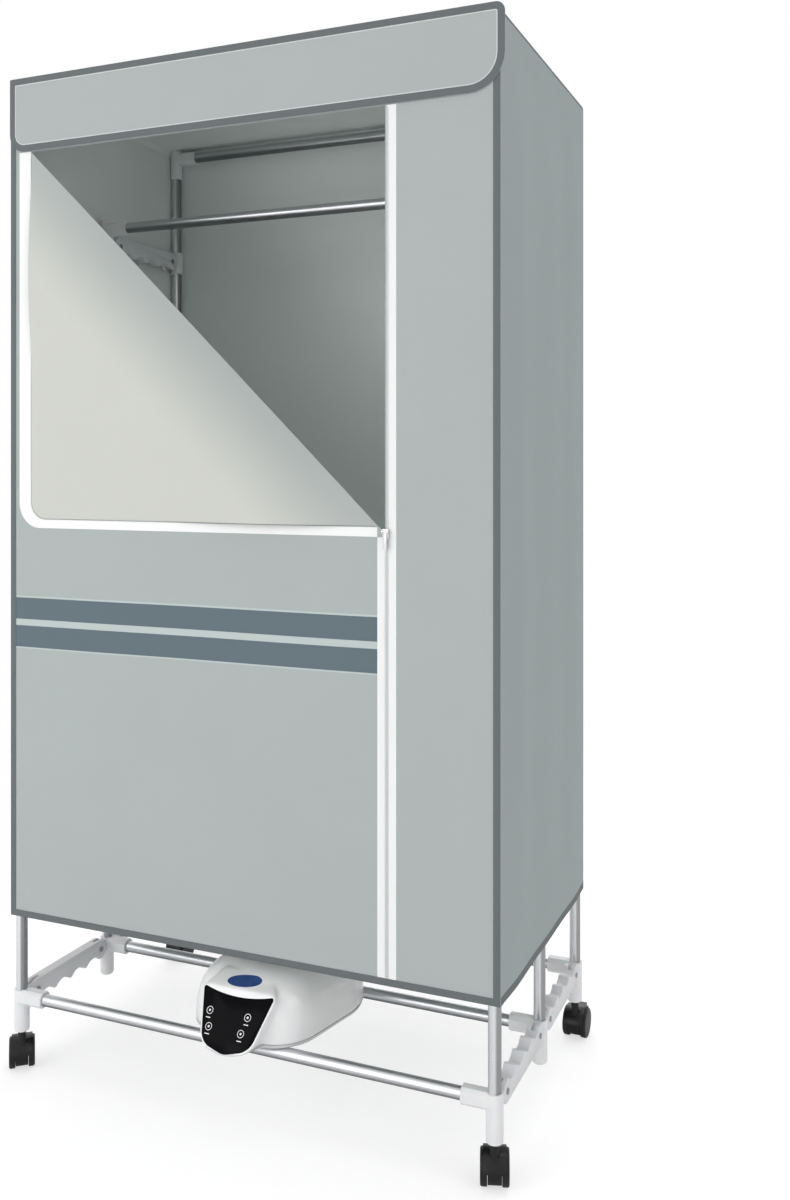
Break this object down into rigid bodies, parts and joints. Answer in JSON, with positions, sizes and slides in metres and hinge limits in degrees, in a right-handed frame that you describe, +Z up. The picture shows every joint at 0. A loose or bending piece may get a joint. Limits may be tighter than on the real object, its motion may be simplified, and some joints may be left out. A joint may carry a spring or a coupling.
{
  "type": "electric drying rack",
  "caption": "Wheeled folding clothes dryer: tube frames joined by notched side links, a fabric cover with a peeled window flap and zip, and a fan heater on the lower bars.",
  "frame": {"origin": "on the floor, midway between the posts, in the plane of the middle frame", "axes": "+Z up, -Y to the front with the window and the heater's panel, +X to the right seen from the front"},
  "size_m": [0.7524, 0.4929, 1.4008],
  "materials": {
    "tube_alloy": "satin",
    "connector_plastic": "slightly translucent, fine grain",
    "link_plastic": "slightly translucent, fine grain",
    "pin_steel": "satin",
    "castor_plastic": "semi gloss black",
    "wheel_plastic": "semi gloss black tread",
    "pedal_plastic": "matte black",
    "cover_cloth": "fine weave, matte, with slate stripes on the front",
    "side_cloth": "fine weave, matte",
    "binding_cloth": "ribbed tape, matte",
    "piping_cloth": "white tape, matte",
    "lining_cloth": "pale coated lining",
    "zip_tape_cloth": "white tape with nylon teeth",
    "zip_metal": "painted pale grey",
    "heater_white": "gloss white",
    "base_white": "satin white",
    "panel_black": "mirror gloss black",
    "board_green": "satin",
    "grille_plastic": "satin",
    "element_alloy": "dull",
    "motor_steel": "satin grey",
    "impeller_plastic": "matte black",
    "gland_rubber": "matte black",
    "screw_steel": "zinc"
  },
  "bodies": {
    "front_frame": {"front_post_left": "tube_alloy", "front_post_right": "tube_alloy", "front_bottom_bar": "tube_alloy", "front_top_bar": "tube_alloy", "front_tees": "connector_plastic", "front_corners": "connector_plastic", "front_collars": "connector_plastic", "front_link_pins": "pin_steel", "front_panel": "cover_cloth", "front_binding": "binding_cloth", "window_piping": "piping_cloth", "zip_tape": "zip_tape_cloth", "top_panel": "side_cloth", "left_side_panel": "side_cloth", "right_side_panel": "side_cloth"},
    "flap": {"window_flap": "lining_cloth"},
    "valance": {"valance": "cover_cloth"},
    "slider": {"zip_slider": "zip_metal"},
    "pull": {"zip_pull": "zip_metal"},
    "front_lower_links": {"front_link_left": "link_plastic", "front_link_right": "link_plastic"},
    "middle_frame": {"middle_post_left": "tube_alloy", "middle_post_right": "tube_alloy", "middle_bottom_bar": "tube_alloy", "middle_top_bar": "tube_alloy", "middle_tees": "connector_plastic", "middle_top_tees": "connector_plastic", "middle_link_pins": "pin_steel"},
    "rear_lower_links": {"rear_link_left": "link_plastic", "rear_link_right": "link_plastic"},
    "rear_frame": {"rear_posts": "tube_alloy", "rear_bottom_bar": "tube_alloy", "rear_top_bar": "tube_alloy", "rear_tees": "connector_plastic", "rear_corners": "connector_plastic", "rear_collars": "connector_plastic", "rear_link_pins": "pin_steel", "back_panel": "side_cloth"},
    "front_high_links": {"front_upper_links": "link_plastic"},
    "rear_high_links": {"rear_upper_links": "link_plastic"},
    "heater": {"heater_base": "base_white", "heater_shell": "heater_white", "control_panel": "panel_black", "circuit_board": "board_green", "outlet_grille": "grille_plastic", "heating_element": "element_alloy", "fan_motor": "motor_steel", "cord_gland": "gland_rubber", "heater_screws": "screw_steel"},
    "impeller": {"fan_impeller": "impeller_plastic"},
    "castor_front_left": {"castor_front_left": "castor_plastic"},
    "wheels_front_left": {"wheels_front_left": "wheel_plastic"},
    "castor_front_right": {"castor_front_right": "castor_plastic"},
    "wheels_front_right": {"wheels_front_right": "wheel_plastic"},
    "castor_rear_left": {"castor_rear_left": "castor_plastic"},
    "wheels_rear_left": {"wheels_rear_left": "wheel_plastic"},
    "castor_rear_right": {"castor_rear_right": "castor_plastic"},
    "wheels_rear_right": {"wheels_rear_right": "wheel_plastic"},
    "brake_left": {"brake_left": "pedal_plastic"},
    "brake_right": {"brake_right": "pedal_plastic"}
  },
  "joints": [
    {"name": "fold", "type": "hinge", "parent": "front_frame", "child": "front_lower_links", "pos_m": [0, -0.17, 0.106], "axis": [1, 0, 0], "range_deg": [0, 90], "deforming": ["top_panel", "left_side_panel", "right_side_panel"]},
    {"name": "middle_frame_pivot", "type": "hinge", "parent": "front_lower_links", "child": "middle_frame", "pos_m": [0, -0.025, 0.106], "axis": [1, 0, 0], "range_deg": [-90, 0]},
    {"name": "rear_link_pivot", "type": "hinge", "parent": "middle_frame", "child": "rear_lower_links", "pos_m": [0, 0.025, 0.106], "axis": [1, 0, 0], "range_deg": [-90, 0]},
    {"name": "rear_frame_pivot", "type": "hinge", "parent": "rear_lower_links", "child": "rear_frame", "pos_m": [0, 0.17, 0.106], "axis": [1, 0, 0], "range_deg": [0, 90]},
    {"name": "front_high_pivot", "type": "hinge", "parent": "front_frame", "child": "front_high_links", "pos_m": [0, -0.17, 1.203], "axis": [1, 0, 0], "range_deg": [0, 90]},
    {"name": "rear_high_pivot", "type": "hinge", "parent": "middle_frame", "child": "rear_high_links", "pos_m": [0, 0.025, 1.203], "axis": [1, 0, 0], "range_deg": [-90, 0]},
    {"name": "heater_slide", "type": "slide", "parent": "front_frame", "child": "heater", "axis": [0, -1, 0], "range_m": [0, 0.393]},
    {"name": "impeller_spin", "type": "hinge", "parent": "heater", "child": "impeller", "pos_m": [0.015, -0.09, 0.15], "axis": [0, 0, 1], "continuous": true},
    {"name": "flap_fold", "type": "hinge", "parent": "front_frame", "child": "flap", "pos_m": [-0.325, -0.2062, 1.2938], "axis": [-0.7187, 0, 0.6954], "range_deg": [0, 176]},
    {"name": "valance_lift", "type": "hinge", "parent": "front_frame", "child": "valance", "pos_m": [0, -0.2063, 1.3978], "axis": [-1, 0, 0], "range_deg": [0, 150]},
    {"name": "zip_run", "type": "slide", "parent": "front_frame", "child": "slider", "axis": [0, 0, 1], "range_m": [-0.534, 0.515]},
    {"name": "pull_swing", "type": "hinge", "parent": "slider", "child": "pull", "pos_m": [0.216, -0.2118, 0.775], "axis": [-1, 0, 0], "range_deg": [0, 170]},
    {"name": "swivel_front_left", "type": "hinge", "parent": "front_frame", "child": "castor_front_left", "pos_m": [-0.35, -0.195, 0.06], "axis": [0, 0, 1], "continuous": true},
    {"name": "roll_front_left", "type": "hinge", "parent": "castor_front_left", "child": "wheels_front_left", "pos_m": [-0.35771, -0.18581, 0.021], "axis": [0.766, 0.6428, 0], "continuous": true},
    {"name": "swivel_front_right", "type": "hinge", "parent": "front_frame", "child": "castor_front_right", "pos_m": [0.35, -0.195, 0.06], "axis": [0, 0, 1], "continuous": true},
    {"name": "roll_front_right", "type": "hinge", "parent": "castor_front_right", "child": "wheels_front_right", "pos_m": [0.34629, -0.18359, 0.021], "axis": [0.9511, 0.309, 0], "continuous": true},
    {"name": "swivel_rear_left", "type": "hinge", "parent": "rear_frame", "child": "castor_rear_left", "pos_m": [-0.35, 0.195, 0.06], "axis": [0, 0, 1], "continuous": true},
    {"name": "roll_rear_left", "type": "hinge", "parent": "castor_rear_left", "child": "wheels_rear_left", "pos_m": [-0.35, 0.207, 0.021], "axis": [1, 0, 0], "continuous": true},
    {"name": "swivel_rear_right", "type": "hinge", "parent": "rear_frame", "child": "castor_rear_right", "pos_m": [0.35, 0.195, 0.06], "axis": [0, 0, 1], "continuous": true},
    {"name": "roll_rear_right", "type": "hinge", "parent": "castor_rear_right", "child": "wheels_rear_right", "pos_m": [0.35, 0.207, 0.021], "axis": [1, 0, 0], "continuous": true},
    {"name": "brake_left_press", "type": "hinge", "parent": "castor_rear_left", "child": "brake_left", "pos_m": [-0.35, 0.2339, 0.032], "axis": [-1, 0, 0], "range_deg": [0, 15]},
    {"name": "brake_right_press", "type": "hinge", "parent": "castor_rear_right", "child": "brake_right", "pos_m": [0.35, 0.2339, 0.032], "axis": [-1, 0, 0], "range_deg": [0, 15]}
  ],
  "couplings": [
    {"joint": "middle_frame_pivot", "follows": "fold", "ratio": -1},
    {"joint": "rear_link_pivot", "follows": "fold", "ratio": -1},
    {"joint": "rear_frame_pivot", "follows": "fold", "ratio": 1},
    {"joint": "front_high_pivot", "follows": "fold", "ratio": 1},
    {"joint": "rear_high_pivot", "follows": "fold", "ratio": -1},
    {"joint": "heater_slide", "follows": "fold", "m_per_rad": 0.25}
  ]
}
